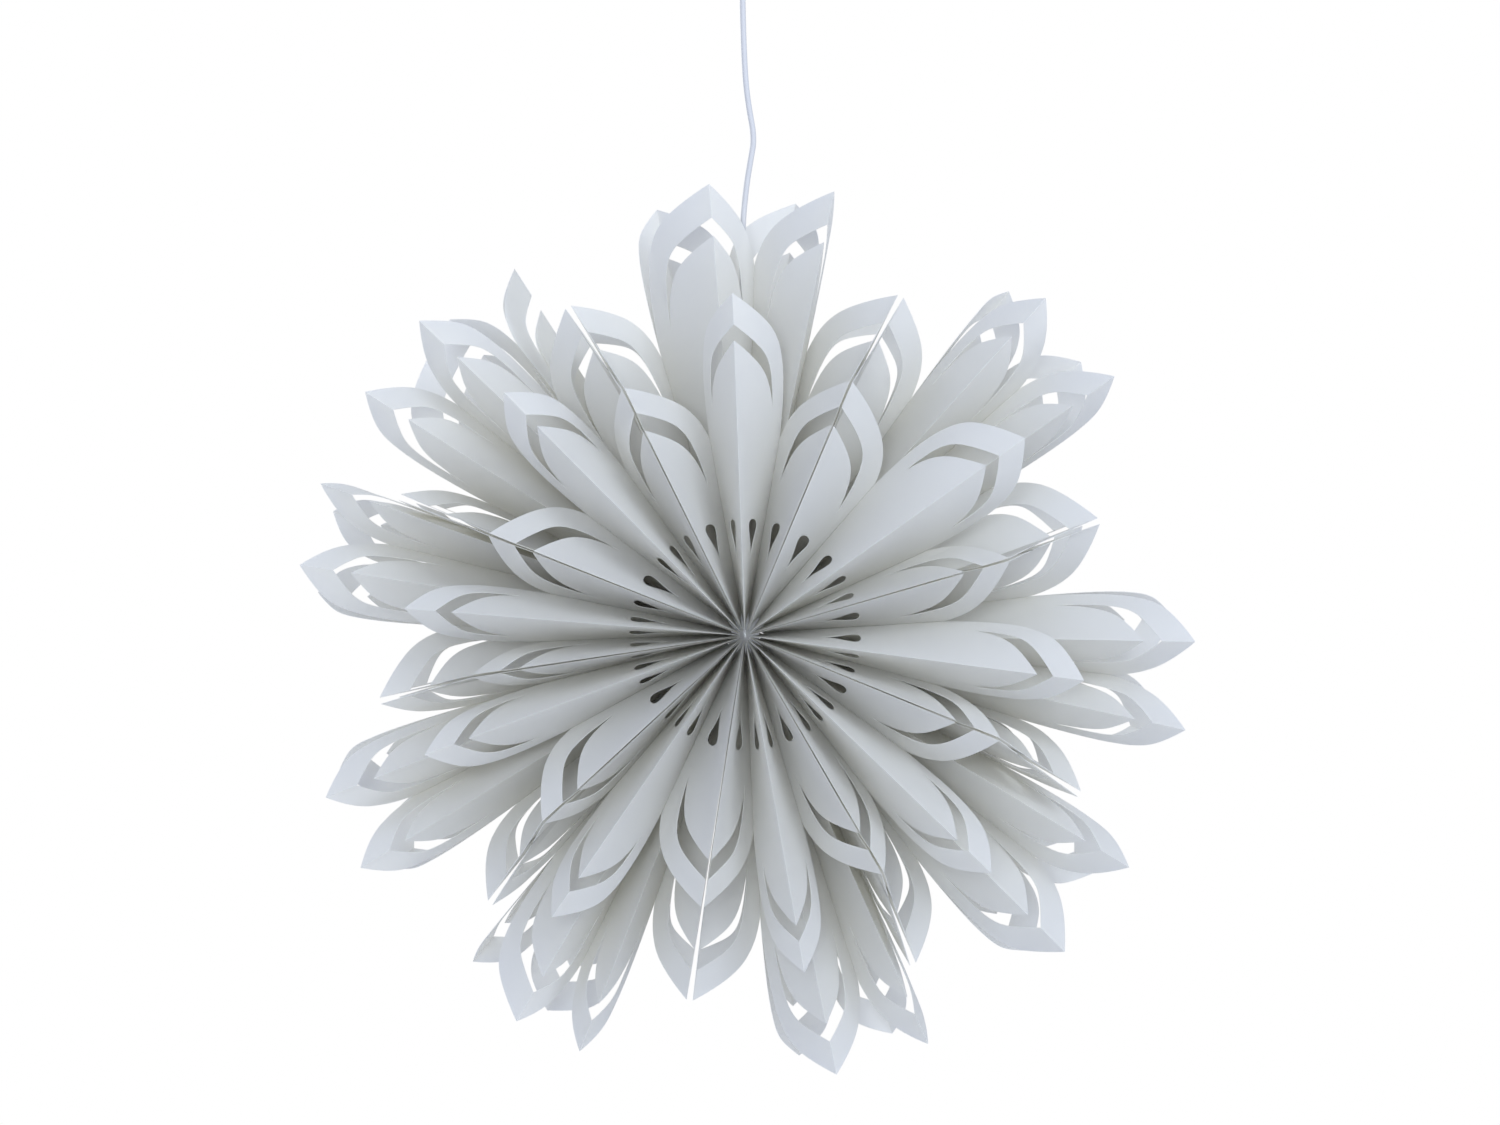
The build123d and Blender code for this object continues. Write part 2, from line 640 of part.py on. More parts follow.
# ---------------------------------------------------------------- lampholder
flange_radius, flange_height = GLAND_FLANGE
holder_gland = turned(
    LAMP,
    (CORD_BORE, PLATE_TOP + flange_height),
    (flange_radius, PLATE_TOP + flange_height),
    (flange_radius, PLATE_TOP),
    (THREAD_RADIUS, PLATE_TOP),
    (THREAD_RADIUS, PLATE_TOP - GLAND_STEM),
    (0, PLATE_TOP - GLAND_STEM),
    (0, CORD_END),
    (CORD_BORE, CORD_END),
)
keep("holder_gland", holder_gland)
keep("gland_nut", hexagon_nut(LAMP, HOLDER_TOP - HOLDER_WALL))

with BuildPart() as support_plate:
    with BuildSketch(Plane((STAR_SIDE, 0, STAR_Z + HOLDER_TOP))):
        RectangleRounded(PLATE[0], PLATE[1], PLATE_CORNER)
        Circle(THREAD_RADIUS + FIT, mode=Mode.SUBTRACT)
    extrude(amount=PLATE[2])
keep("support_plate", support_plate.part)

holder_cap = tapered(
    LAMP,
    (THREAD_RADIUS + FIT, HOLDER_TOP),
    (HOLDER_RADIUS - HOLDER_CROWN, HOLDER_TOP),
    (HOLDER_RADIUS, HOLDER_TOP - HOLDER_CROWN),
    (HOLDER_RADIUS, SHELL_TOP),
    (HOLDER_RADIUS - HOLDER_WALL, SHELL_TOP),
    (HOLDER_RADIUS - HOLDER_WALL, HOLDER_TOP - HOLDER_CROWN),
    (HOLDER_RADIUS - HOLDER_CROWN, HOLDER_TOP - HOLDER_WALL),
    (THREAD_RADIUS + FIT, HOLDER_TOP - HOLDER_WALL),
)
keep("holder_cap", holder_cap)

holder_shell = tapered(
    LAMP,
    (HOLDER_RADIUS - HOLDER_WALL, SHELL_TOP),
    (HOLDER_RADIUS, SHELL_TOP),
    (HOLDER_RADIUS, SHELL_BOTTOM),
    (HOLDER_RADIUS - HOLDER_WALL, SHELL_BOTTOM),
)
keep("holder_shell", holder_shell)

insert_radius = HOLDER_RADIUS - HOLDER_WALL - RUNNING_GAP
holder_insert = tapered(
    LAMP,
    (0, INSERT_BOTTOM),
    (insert_radius, INSERT_BOTTOM),
    (insert_radius, INSERT_BOTTOM + INSERT_HEIGHT),
    (0, INSERT_BOTTOM + INSERT_HEIGHT),
)
keep("holder_insert", holder_insert)

screw_shell = tapered(
    LAMP,
    (SCREW_SHELL_RADIUS - SCREW_SHELL_WALL, INSERT_BOTTOM),
    (SCREW_SHELL_RADIUS, INSERT_BOTTOM),
    (SCREW_SHELL_RADIUS, INSERT_BOTTOM - SCREW_SHELL_LENGTH),
    (SCREW_SHELL_RADIUS - SCREW_SHELL_WALL, INSERT_BOTTOM - SCREW_SHELL_LENGTH),
)
keep("screw_shell", screw_shell)

reach, tongue_width, tongue_thickness = TONGUE
with BuildPart() as contact_tongue:
    with BuildSketch(LAMP):
        with BuildLine():
            upper = INSERT_BOTTOM
            lower = INSERT_BOTTOM - TONGUE_DROP
            Polyline(
                (-reach, upper),
                (-reach / 2, upper),
                (0, lower),
                (reach / 3, lower),
                (reach / 3, lower - tongue_thickness),
                (0, lower - tongue_thickness),
                (-reach / 2, upper - tongue_thickness),
                (-reach, upper - tongue_thickness),
                close=True,
            )
        make_face()
    extrude(amount=tongue_width / 2, both=True)
keep("contact_tongue", contact_tongue.part)

# ---------------------------------------------------------------- bulb
bulb_contact = tapered(
    LAMP,
    (0, CONTACT_TOP),
    (BULB_CONTACT[0], CONTACT_TOP),
    (BULB_CONTACT[1], INSULATOR_TOP),
    (0, INSULATOR_TOP),
)
keep("bulb_contact", bulb_contact)

bulb_insulator = tapered(
    LAMP,
    (0, INSULATOR_TOP),
    (INSULATOR_RADII[0], INSULATOR_TOP),
    (INSULATOR_RADII[1], BULB_CAP_TOP),
    (0, BULB_CAP_TOP),
)
keep("bulb_insulator", bulb_insulator)

cap_bore = BULB_CAP_RADIUS - BULB_CAP_WALL
cap_shoulder = BULB_CAP_TOP - BULB_CAP_SHOULDER
bulb_cap = tapered(
    LAMP,
    (0, BULB_CAP_TOP),
    (INSULATOR_RADII[1], BULB_CAP_TOP),
    (BULB_CAP_RADIUS, cap_shoulder),
    (BULB_CAP_RADIUS, BULB_CAP_BOTTOM),
    (cap_bore, BULB_CAP_BOTTOM),
    (cap_bore, cap_shoulder),
    (0, cap_shoulder),
)
keep("bulb_cap", bulb_cap)

neck_top = BULB_CAP_BOTTOM + NECK_IN_CAP
neck_turn = math.degrees(math.asin(NECK_RADIUS / BULB_RADIUS))
globe = [neck_turn + (180 - neck_turn) * step / GLOBE_STEPS for step in range(GLOBE_STEPS)]
bulb_glass = tapered(
    LAMP,
    (0, neck_top),
    (NECK_RADIUS, neck_top),
    *[
        (BULB_RADIUS * math.sin(math.radians(turn)), BULB_CENTRE + BULB_RADIUS * math.cos(math.radians(turn)))
        for turn in globe
    ],
    (0, BULB_CENTRE - BULB_RADIUS),
)
keep("bulb_glass", bulb_glass)
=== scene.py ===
"""Looks of the folded paper star pendant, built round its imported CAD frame.

Every pleat of folded sheet is a smooth surface here, with its cut leaves, crescent slots and
drop-shaped holes.  The cord is a curve along its real route, and the small round parts of the
ceiling fitting, the lampholder and the bulb get turned surfaces with softened edges.

Lengths in the classes are millimetres, as in the part's source, and meshes are in metres.
Angles of folds are degrees anticlockwise from the right, seen from the front (-Y).
"""

import logging
import math
from collections.abc import Sequence
from dataclasses import dataclass, field
from enum import Enum

import bmesh
import bpy
import numpy as np
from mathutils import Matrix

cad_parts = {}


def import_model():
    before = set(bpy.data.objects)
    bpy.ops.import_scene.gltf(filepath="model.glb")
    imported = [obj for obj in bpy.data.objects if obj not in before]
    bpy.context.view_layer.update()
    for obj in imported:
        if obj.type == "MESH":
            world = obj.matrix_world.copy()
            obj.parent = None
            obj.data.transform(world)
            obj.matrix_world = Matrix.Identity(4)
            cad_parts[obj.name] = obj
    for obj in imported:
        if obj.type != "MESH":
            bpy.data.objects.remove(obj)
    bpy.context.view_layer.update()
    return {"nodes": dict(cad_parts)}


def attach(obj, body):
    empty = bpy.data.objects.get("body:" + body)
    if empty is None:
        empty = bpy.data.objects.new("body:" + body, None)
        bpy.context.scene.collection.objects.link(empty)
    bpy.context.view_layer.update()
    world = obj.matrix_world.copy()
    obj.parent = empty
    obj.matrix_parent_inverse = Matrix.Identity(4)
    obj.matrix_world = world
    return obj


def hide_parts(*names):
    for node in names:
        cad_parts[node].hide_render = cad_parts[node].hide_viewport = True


LOG = logging.getLogger("paper_star")
MM = 0.001
STAR_SIDE = 2.6
STAR_DROP = 650.0


class Side(Enum):
    """Which half of the star a pleat belongs to; the value is its sign towards the front."""

    FRONT = 1
    BACK = -1


class Level(Enum):
    """Which of a segment's two pleats a sheet is."""

    OUTER = "outer"
    INNER = "inner"


# ---------------------------------------------------------------- materials


class Value:
    """A shader socket that adds Math nodes when it is used in an expression."""

    def __init__(self, tree: bpy.types.NodeTree, socket: bpy.types.NodeSocket) -> None:
        """Keep the tree and the output socket."""
        self.tree = tree
        self.socket = socket

    def _math(self, operation: str, first: "Value | float", second: "Value | float") -> "Value":
        """Add one Math node.

        Args:
            operation: the node's operation.
            first: its first operand.
            second: its second operand.

        Returns:
            The node's result.
        """
        node = self.tree.nodes.new("ShaderNodeMath")
        node.operation = operation
        for slot, operand in zip(node.inputs, (first, second)):
            if isinstance(operand, Value):
                self.tree.links.new(operand.socket, slot)
            else:
                slot.default_value = operand
        return Value(self.tree, node.outputs[0])

    def __add__(self, other: "Value | float") -> "Value":
        """Sum."""
        return self._math("ADD", self, other)

    def __mul__(self, other: "Value | float") -> "Value":
        """Product."""
        return self._math("MULTIPLY", self, other)

    __radd__ = __add__
    __rmul__ = __mul__


class MaterialTree:
    """A material under construction, with one method that makes any node."""

    def __init__(self, name: str) -> None:
        """Start an empty material with its output node."""
        self.material = bpy.data.materials.new(name)
        self.material.use_nodes = True
        self.tree = self.material.node_tree
        self.tree.nodes.clear()

    def node(self, kind: str, **sockets: object) -> bpy.types.Node:
        """Make a node.

        Args:
            kind: the node's type name.
            **sockets: values or links of its inputs, by name with underscores for spaces.

        Returns:
            The new node.
        """
        made = self.tree.nodes.new(kind)
        for key, value in sockets.items():
            socket = made.inputs[key.replace("_", " ")]
            if isinstance(value, Value):
                value = value.socket
            if isinstance(value, bpy.types.NodeSocket):
                self.tree.links.new(value, socket)
            else:
                socket.default_value = value
        return made

    def value(self, node: bpy.types.Node, output: str | int = 0) -> Value:
        """Wrap a node's output for use in expressions."""
        return Value(self.tree, node.outputs[output])

    def place(self) -> bpy.types.NodeSocket:
        """Object coordinates."""
        return self.node("ShaderNodeTexCoord").outputs["Object"]

    def noise(self, scale: float, detail: float = 2.0, roughness: float = 0.5) -> Value:
        """Noise over object coordinates, at a number of features per metre."""
        made = self.node(
            "ShaderNodeTexNoise",
            Vector=self.place(),
            Scale=scale,
            Detail=detail,
            Roughness=roughness,
        )
        return self.value(made, 0)

    def tint(
        self, amount: Value, dark: Sequence[float], light: Sequence[float]
    ) -> bpy.types.NodeSocket:
        """Mix two colours.

        Args:
            amount: 0 for the dark one and 1 for the light one.
            dark: red, green and blue.
            light: red, green and blue.

        Returns:
            The colour's socket.
        """
        mix = self.tree.nodes.new("ShaderNodeMix")
        mix.data_type = "RGBA"
        mix.clamp_factor = True
        self.tree.links.new(amount.socket, mix.inputs["Factor"])
        colours = [socket for socket in mix.inputs if socket.type == "RGBA"]
        for socket, colour in zip(colours, (dark, light)):
            socket.default_value = (*colour, 1.0)
        return next(socket for socket in mix.outputs if socket.type == "RGBA")

    def blend(self, share: float, first: bpy.types.Node, second: bpy.types.Node) -> bpy.types.Node:
        """Mix two shaders, with this share of the second."""
        mix = self.node("ShaderNodeMixShader")
        mix.inputs[0].default_value = share
        for slot, shader in zip(mix.inputs[1:], (first, second)):
            self.tree.links.new(shader.outputs[0], slot)
        return mix

    def finish(self, surface: bpy.types.Node) -> bpy.types.Material:
        """Link the surface shader to the output and return the material."""
        self.node("ShaderNodeOutputMaterial", Surface=surface.outputs[0])
        return self.material


@dataclass(frozen=True)
class PaperFinish:
    """Matt white drawing paper with a faint fibre grain and soft mottling."""

    name: str = "star_paper"
    light: tuple[float, float, float] = (0.94, 0.928, 0.875)
    dark: tuple[float, float, float] = (0.905, 0.89, 0.825)
    grain: float = 900.0
    mottling: float = 14.0
    bump: float = 0.06
    roughness: float = 0.92
    see_through: float = 0.55

    def material(self) -> bpy.types.Material:
        """Build the paper's material, which lets some light through to its other side."""
        made = MaterialTree(self.name)
        fibres = made.noise(self.grain, detail=4.0, roughness=0.65)
        clouds = made.noise(self.mottling, detail=3.0)
        blend = 0.35 * fibres + 0.9 * clouds
        bump = made.node(
            "ShaderNodeBump", Strength=self.bump, Distance=0.0004, Height=fibres
        )
        colour = made.tint(blend, self.dark, self.light)
        front = made.node(
            "ShaderNodeBsdfPrincipled",
            Base_Color=colour,
            Roughness=self.roughness,
            Specular_IOR_Level=0.25,
            Normal=bump.outputs[0],
        )
        through = made.node("ShaderNodeBsdfTranslucent", Color=colour, Normal=bump.outputs[0])
        return made.finish(made.blend(self.see_through, front, through))


@dataclass(frozen=True)
class PlasticFinish:
    """Moulded plastic: one colour, a little uneven, with a fine satin texture."""

    name: str
    colour: tuple[float, float, float]
    roughness: float = 0.38
    unevenness: float = 0.05
    texture: float = 0.03

    def material(self) -> bpy.types.Material:
        """Build the plastic's material."""
        made = MaterialTree(self.name)
        clouds = made.noise(60.0, detail=3.0)
        pores = made.noise(2500.0, detail=2.0)
        dark = tuple(channel * (1 - self.unevenness) for channel in self.colour)
        bump = made.node("ShaderNodeBump", Strength=self.texture, Distance=0.0002, Height=pores)
        surface = made.node(
            "ShaderNodeBsdfPrincipled",
            Base_Color=made.tint(clouds, dark, self.colour),
            Roughness=self.roughness + 0.08 * clouds,
            Normal=bump.outputs[0],
        )
        return made.finish(surface)


@dataclass(frozen=True)
class MetalFinish:
    """Bare sheet metal with a slightly cloudy shine."""

    name: str
    colour: tuple[float, float, float]
    roughness: float = 0.3

    def material(self) -> bpy.types.Material:
        """Build the metal's material."""
        made = MaterialTree(self.name)
        clouds = made.noise(90.0, detail=4.0, roughness=0.6)
        dark = tuple(channel * 0.86 for channel in self.colour)
        surface = made.node(
            "ShaderNodeBsdfPrincipled",
            Base_Color=made.tint(clouds, dark, self.colour),
            Metallic=1.0,
            Roughness=self.roughness + 0.15 * clouds,
        )
        return made.finish(surface)


@dataclass(frozen=True)
class GlassFinish:
    """Dense glass that no light shows through: opal white or black."""

    name: str
    colour: tuple[float, float, float]
    roughness: float = 0.12

    def material(self) -> bpy.types.Material:
        """Build the glass's material."""
        made = MaterialTree(self.name)
        clouds = made.noise(40.0)
        dark = tuple(channel * 0.97 for channel in self.colour)
        surface = made.node(
            "ShaderNodeBsdfPrincipled",
            Base_Color=made.tint(clouds, dark, self.colour),
            Roughness=self.roughness,
            Coat_Weight=0.4,
        )
        return made.finish(surface)


class Finishes:
    """The object's materials, by the slot names of its record."""

    def __init__(self) -> None:
        """Build every finish once."""
        made = (
            PaperFinish(),
            PlasticFinish("cord", (0.64, 0.63, 0.60), roughness=0.5),
            PlasticFinish("fitting_plastic", (0.82, 0.82, 0.80)),
            PlasticFinish("insulation", (0.74, 0.73, 0.70), roughness=0.6),
            GlassFinish("insulator", (0.03, 0.03, 0.035)),
            MetalFinish("steel", (0.66, 0.67, 0.68), roughness=0.34),
            MetalFinish("brass", (0.78, 0.60, 0.28)),
            MetalFinish("lamp_metal", (0.74, 0.74, 0.75), roughness=0.26),
            GlassFinish("opal_glass", (0.86, 0.86, 0.84)),
        )
        self.by_slot = {finish.name: finish.material() for finish in made}

    def put(self, obj: bpy.types.Object, name: str) -> None:
        """Give an object the material of a slot."""
        obj.data.materials.clear()
        obj.data.materials.append(self.by_slot[name])


# ---------------------------------------------------------------- meshes


def new_object(name: str, vertices: np.ndarray, faces: Sequence[np.ndarray]) -> bpy.types.Object:
    """Make a mesh object at the origin.

    Args:
        name: the object's name.
        vertices: N by 3, metres.
        faces: arrays of vertex numbers, each M by 3 or M by 4.

    Returns:
        The new object, in the scene's collection.
    """
    mesh = bpy.data.meshes.new(name)
    loops = [row for block in faces for row in block.tolist()]
    mesh.from_pydata(vertices.tolist(), [], loops)
    mesh.update()
    obj = bpy.data.objects.new(name, mesh)
    bpy.context.scene.collection.objects.link(obj)
    return obj


def merge_doubles(obj: bpy.types.Object, distance: float) -> None:
    """Join the vertices that lie in one place, and turn all faces the same way."""
    work = bmesh.new()
    work.from_mesh(obj.data)
    bmesh.ops.remove_doubles(work, verts=work.verts, dist=distance)
    bmesh.ops.dissolve_degenerate(work, edges=work.edges, dist=distance)
    bmesh.ops.recalc_face_normals(work, faces=work.faces)
    work.to_mesh(obj.data)
    work.free()


def give_thickness(obj: bpy.types.Object, thickness: float) -> None:
    """Turn an open sheet into a closed one of this thickness, in metres, half to each side."""
    modifier = obj.modifiers.new("thickness", "SOLIDIFY")
    modifier.thickness = thickness
    modifier.offset = 0.0
    graph = bpy.context.evaluated_depsgraph_get()
    solid = bpy.data.meshes.new_from_object(obj.evaluated_get(graph))
    obj.modifiers.clear()
    plain = obj.data
    obj.data = solid
    solid.name = obj.name
    bpy.data.meshes.remove(plain)


def shade(obj: bpy.types.Object, angle: float) -> None:
    """Shade smooth, with the edges sharp where faces meet at more than this many degrees."""
    obj.data.polygons.foreach_set("use_smooth", np.ones(len(obj.data.polygons), dtype=bool))
    obj.data.set_sharp_from_angle(angle=math.radians(angle))


def grid_faces(rows: int, columns: int, first: int = 0) -> np.ndarray:
    """Quads of a grid of vertices that is stored row by row.

    Args:
        rows: vertices down the grid.
        columns: vertices across it.
        first: number of its first vertex.

    Returns:
        (rows - 1) * (columns - 1) by 4 vertex numbers.
    """
    numbers = first + np.arange(rows * columns).reshape(rows, columns)
    corners = (numbers[:-1, :-1], numbers[:-1, 1:], numbers[1:, 1:], numbers[1:, :-1])
    return np.stack([corner.ravel() for corner in corners], axis=1)


# ---------------------------------------------------------------- folded paper


@dataclass(frozen=True)
class Fold:
    """A straight fold: its angle, where it starts, and its depth on the star's axis."""

    angle: float
    start: float
    depth: float
    fall: float = 0.0
    offset: float = 0.0
    splay: float = 0.0
    lean: float = 0.0
    curl: float = 0.0
    tip: float = 1e9

    LEAN_RADIUS = 329.0
    SPLAY_RADIUS = 280.0
    CURL_LENGTH = 70.0
    CURL_LIMIT = 1.3

    def angle_at(self, radius: np.ndarray) -> np.ndarray:
        """Degrees: angle + lean * (radius / 329)^2 + splay * (radius / 280)^3."""
        lean = self.lean * (radius / self.LEAN_RADIUS) ** 2
        return self.angle + lean + self.splay * (radius / self.SPLAY_RADIUS) ** 3

    def depth_at(self, radius: np.ndarray) -> np.ndarray:
        """Depth: a straight slope, and over the last 70 mm before the tip a parabola of curl."""
        run = radius - self.tip + self.CURL_LENGTH
        near_tip = np.clip(run / self.CURL_LENGTH, 0.0, self.CURL_LIMIT)
        return self.depth - self.fall * radius + self.curl * near_tip**2


@dataclass(frozen=True)
class Leaf:
    """The cut end of a pleat's ridge, and the crescent slot inside it.

    tip is the leaf's radius, band and slot are widths along the ridge, and the slot's tail ends
    at the radius tail, a share reach of the way to the valley.
    """

    tip: float
    band: float
    slot: float
    tail: float
    reach: float


@dataclass(frozen=True)
class Drop:
    """A drop-shaped hole: radii of its pointed and of its round end, and its share of the face."""

    pointed: float = 66.0
    rounded: float = 101.0
    middle: float = 0.5
    half_width: float = 0.15
    shares: tuple[float, float] = (0.30, 0.70)
    low: tuple[float, float] = (56.0, 62.0)
    high: float = 107.0


@dataclass(frozen=True)
class Sheet:
    """One face between a ridge and a valley, as a function of radius s and share t of its width.

    A point turns from the ridge's angle to the valley's in proportion to t, and its depth goes
    the same way from the ridge's to the valley's.  On top comes a belly along the face's normal.
    """

    ridge: Fold
    valley: Fold
    leaf: Leaf
    notch: float
    side: Side
    belly: float = 0.0
    lift: float = 0.0
    drop: Drop | None = None
    holed: bool = False
    panel_rows: int = 16
    band_rows: int = 5

    TIP_FALL = 42.0
    WALL_ARCH = 0.44
    ARCH_POWER = 7.0
    SLOT_POWERS = (6.0, 8.0)
    TAIL_CLEARANCE = 12.0
    BELLY_START = 60.0
    BELLY_RISE = 120.0
    PLAIN_SHARES = (0.33, 0.60)
    COLUMN_COUNTS = (4, 8, 4)
    LAST_COLUMNS = 9
    LAST_POWER = 1.5
    HOLE_ROWS = (4, 10)
    HOLE_COLUMNS = (4, 12)
    HOLE_SHARE = 0.2
    HOLE_RADIUS = 22.0
    RING_MIX = (0.35, 0.65)

    def flat_point(self, s: np.ndarray, t: np.ndarray) -> np.ndarray:
        """Place without the belly, in mm: x and z from the polar angle, y from the depth."""
        turn = np.radians((1 - t) * self.ridge.angle_at(s) + t * self.valley.angle_at(s))
        across = (1 - t) * self.ridge.offset + t * self.valley.offset
        depth = (1 - t) * self.ridge.depth_at(s) + t * self.valley.depth_at(s)
        x = STAR_SIDE + s * np.cos(turn) - across * np.sin(turn)
        z = -STAR_DROP + s * np.sin(turn) + across * np.cos(turn)
        return np.stack([x, -self.side.value * depth, z], axis=-1)

    def point(self, s: np.ndarray, t: np.ndarray, height: np.ndarray) -> np.ndarray:
        """Place in mm, raised by height along the normal, which is the cross of both slopes."""
        step_s, step_t = 0.5, 0.01
        here = self.flat_point(s, t)
        along = self.flat_point(s + step_s, t) - here
        across = self.flat_point(s, t + step_t) - here
        normal = np.cross(along, across)
        normal /= np.linalg.norm(normal, axis=-1, keepdims=True) + 1e-12
        facing = np.where(normal[..., 1:2] * self.side.value > 0, -1.0, 1.0)
        return here + normal * facing * height[..., None]

    def columns(self) -> np.ndarray:
        """Shares t of the columns, with one at each side of the hole and one at the tail.

        On the side walls the tail comes before the drop's far share, so the columns step back
        between the two and the surface lies there in three layers.
        """
        low, high = self.drop.shares if self.drop else self.PLAIN_SHARES
        stops = (0.0, low, high, self.leaf.reach)
        parts = [
            np.linspace(start, end, count, endpoint=False)
            for start, end, count in zip(stops, stops[1:], self.COLUMN_COUNTS)
        ]
        steps = np.linspace(1.0, 0.0, self.LAST_COLUMNS) ** self.LAST_POWER
        last = 1 - (1 - self.leaf.reach) * steps
        return np.concatenate([*parts, last])

    def outline(self, t: np.ndarray) -> np.ndarray:
        """Radius of the cut edge: tip - (tip - notch) * (a t + (1 - a) t^k), a pointed arch.

        The straight share a gives every tip the same slope, TIP_FALL over the width of a face.
        """
        length = self.leaf.tip - self.notch
        arch = self.TIP_FALL / length if length > 0 else self.WALL_ARCH
        return self.leaf.tip - length * (arch * t + (1 - arch) * t**self.ARCH_POWER)

    def slot_edges(self, t: np.ndarray) -> tuple[np.ndarray, np.ndarray]:
        """Radii of the slot's inner and outer edge, which meet at its tail and stay together.

        With u = t / reach, each falls from its corner to the tail by (b u + (1 - b) u^m), where b
        gives it the slope of the leaf's tip.
        """
        u = np.clip(t / self.leaf.reach, 0.0, 1.0)
        beyond = np.clip((t - self.leaf.reach) / (1 - self.leaf.reach), 0.0, 1.0)
        joined = self.leaf.tail + (self.notch - self.TAIL_CLEARANCE - self.leaf.tail) * beyond
        corner = self.leaf.tip - self.leaf.band
        edges = []
        for start, power in zip((corner - self.leaf.slot, corner), self.SLOT_POWERS):
            length = start - self.leaf.tail
            slope = self.TIP_FALL * self.leaf.reach / length
            fall = slope * u + (1 - slope) * u**power
            edges.append(np.where(beyond > 0, joined, start - length * fall))
        return edges[0], edges[1]

    def rows(self, t: np.ndarray, inner: np.ndarray) -> np.ndarray:
        """Radii of the rows from the core to the slot's inner edge, one row to each line."""
        start = self.ridge.start + (self.valley.start - self.ridge.start) * t
        if self.drop is None:
            share = np.linspace(0.0, 1.0, self.panel_rows)[:, None]
            return start + (inner - start) * share
        low = self.drop.low[0] + (self.drop.low[1] - self.drop.low[0]) * t
        high = np.full_like(t, self.drop.high)
        first = start + (low - start) * np.linspace(0.0, 1.0, 5)[:-1, None]
        second = low + (high - low) * np.linspace(0.0, 1.0, 7)[:-1, None]
        third = high + (inner - high) * np.linspace(0.0, 1.0, self.panel_rows - 10)[:, None]
        return np.concatenate([first, second, third])

    def heights(self, s: np.ndarray, t: np.ndarray, band: bool) -> np.ndarray:
        """Belly: sin(pi t) over the face, plus sin(pi u) over the width of a cut band."""
        rise = np.clip((s - self.BELLY_START) / self.BELLY_RISE, 0.0, 1.0)
        height = self.belly * np.sin(np.pi * t) * rise
        if band:
            u = np.clip(t / self.leaf.reach, 0.0, 1.0)
            height = height + self.lift * np.sin(np.pi * u)
        return height

    def arrays(self) -> tuple[np.ndarray, list[np.ndarray]]:
        """Vertices in mm and quads of the face, its slot left open."""
        t = self.columns()
        inner, outer = self.slot_edges(t)
        panel = self.rows(t, inner)
        share = np.linspace(0.0, 1.0, self.band_rows)[:, None]
        band = outer + (self.outline(t) - outer) * share
        wide_panel = np.broadcast_to(t, panel.shape)
        wide_band = np.broadcast_to(t, band.shape)
        panel_heights = self.heights(panel, wide_panel, band=False)
        band_heights = self.heights(band, wide_band, band=True)
        points = [
            self.point(panel, wide_panel, panel_heights).reshape(-1, 3),
            self.point(band, wide_band, band_heights).reshape(-1, 3),
        ]
        quads = grid_faces(len(panel), len(t))
        faces = [grid_faces(len(band), len(t), first=panel.size)]
        if self.holed:
            quads, ring_points, ring_faces = self._hole(panel, t, quads, panel.size + band.size)
            points.append(ring_points)
            faces.extend(ring_faces)
        faces.append(quads)
        return np.concatenate(points), faces

    def _hole(
        self, panel: np.ndarray, t: np.ndarray, quads: np.ndarray, first: int
    ) -> tuple[np.ndarray, np.ndarray, list[np.ndarray]]:
        """Cut a block of quads out of the panel and fill it up to the drop's outline.

        The drop is s = middle - half length * cos(a), and t = middle + width * sin(a) *
        (0.1 + 2 sin(a/2)^4), a round head on a thin tail, with a the direction of each of the
        block's border points from the drop's middle.

        Args:
            panel: radii of the panel's rows.
            t: shares of its columns.
            quads: the panel's quads.
            first: number that the first new vertex gets.

        Returns:
            The quads that stay, the new vertices in mm, and their quads.
        """
        top, bottom = self.HOLE_ROWS
        left, right = self.HOLE_COLUMNS
        width = len(t)
        row, column = quads[:, 0] // width, quads[:, 0] % width
        inside = (row >= top) & (row < bottom) & (column >= left) & (column < right)
        down = np.arange(top, bottom)
        across = np.arange(left, right)
        border_rows = np.concatenate(
            [np.full(len(across), top), down, np.full(len(across), bottom), down[::-1] + 1]
        )
        border_columns = np.concatenate(
            [across, np.full(len(down), right), across[::-1] + 1, np.full(len(down), left)]
        )
        s_border = panel[border_rows, border_columns]
        t_border = t[border_columns]
        drop = self.drop
        middle = (drop.pointed + drop.rounded) / 2
        half = (drop.rounded - drop.pointed) / 2
        way = np.arctan2(
            (t_border - drop.middle) / self.HOLE_SHARE, (middle - s_border) / self.HOLE_RADIUS
        )
        s_drop = middle - half * np.cos(way)
        head = 0.1 + 2.0 * np.sin(way / 2) ** 4
        t_drop = drop.middle + drop.half_width * np.sin(way) * head
        outwards, inwards = self.RING_MIX
        rings_s = [s_border, s_border * outwards + s_drop * inwards, s_drop]
        rings_t = [t_border, t_border * outwards + t_drop * inwards, t_drop]
        s, share = np.stack(rings_s), np.stack(rings_t)
        points = self.point(s, share, self.heights(s, share, band=False)).reshape(-1, 3)
        count = len(s_border)
        ring = np.arange(count)
        after = (ring + 1) % count
        made = []
        for outer_ring in (0, count):
            inner_ring = outer_ring + count
            corners = (outer_ring + ring, outer_ring + after, inner_ring + after, inner_ring + ring)
            made.append(first + np.stack(corners, 1))
        return quads[~inside], points, made


